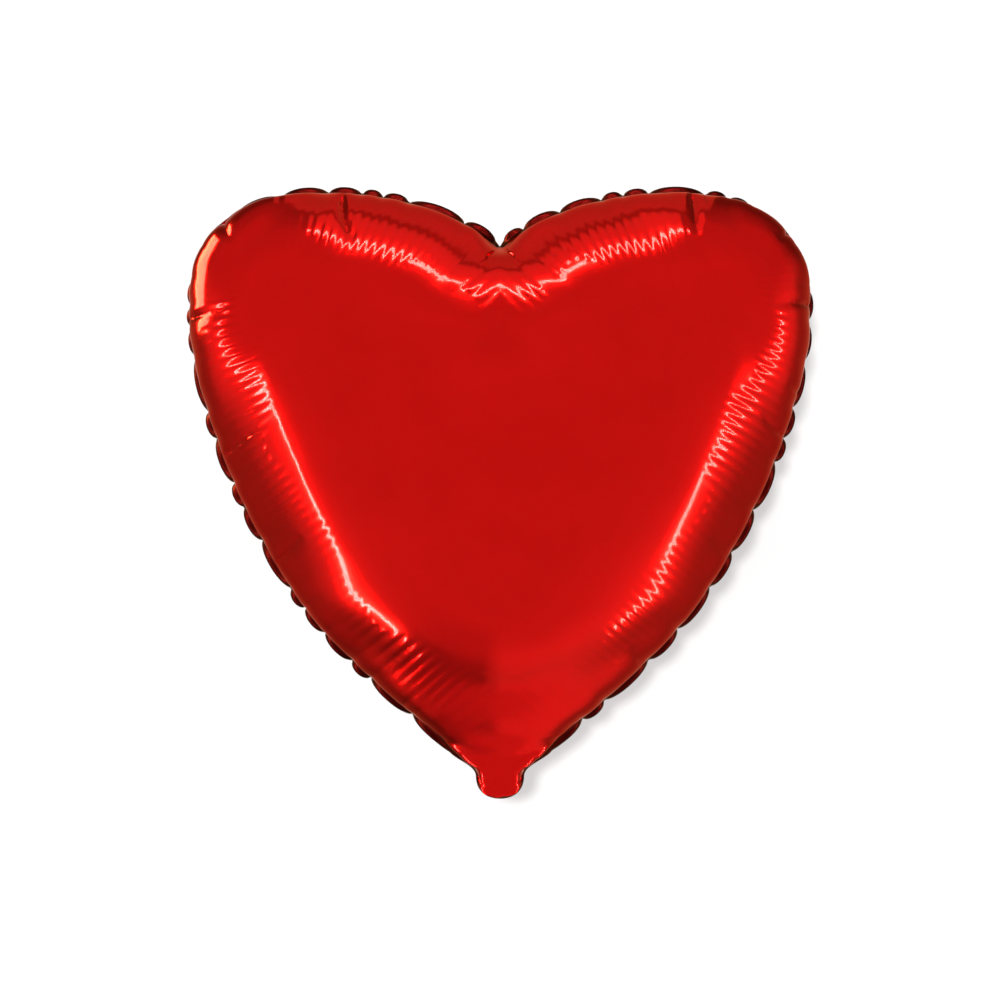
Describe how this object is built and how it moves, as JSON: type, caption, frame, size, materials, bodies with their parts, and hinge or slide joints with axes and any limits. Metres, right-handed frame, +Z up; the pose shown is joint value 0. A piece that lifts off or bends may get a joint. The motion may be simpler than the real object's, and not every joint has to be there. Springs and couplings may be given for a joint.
{
  "type": "heart-shaped foil balloon",
  "caption": "Inflated heart-shaped foil balloon: two sealed metallised panels, a scalloped seam, a short filling neck and a self-sealing film valve inside.",
  "frame": {"origin": "middle of the filling neck at its tie line, in the plane of the seam", "axes": "+Z up from the neck to the lobes, -Y towards the front panel, +X to the right of a viewer facing the front"},
  "size_m": [0.38, 0.1718, 0.371],
  "materials": {
    "red_foil": "mirror-bright metallised film with a clear red lacquer",
    "clear_valve_film": "clear glossy film",
    "release_print": "matt heat-resistant print"
  },
  "bodies": {
    "envelope": {"front_panel": "red_foil", "back_panel": "red_foil"},
    "valve_sleeve": {"valve_back_film": "clear_valve_film", "valve_release_print": "release_print"},
    "valve_flap": {"valve_front_film": "clear_valve_film"}
  },
  "joints": [
    {"name": "valve_swing", "type": "hinge", "parent": "envelope", "child": "valve_sleeve", "pos_m": [0, 0, -0.0075], "axis": [1, 0, 0], "range_deg": [-20, 20], "stiffness_Nm_per_rad": 0.001},
    {"name": "valve_opening", "type": "hinge", "parent": "valve_sleeve", "child": "valve_flap", "pos_m": [0, -0.0001, -0.0075], "axis": [1, 0, 0], "range_deg": [0, 8], "stiffness_Nm_per_rad": 0.001}
  ]
}
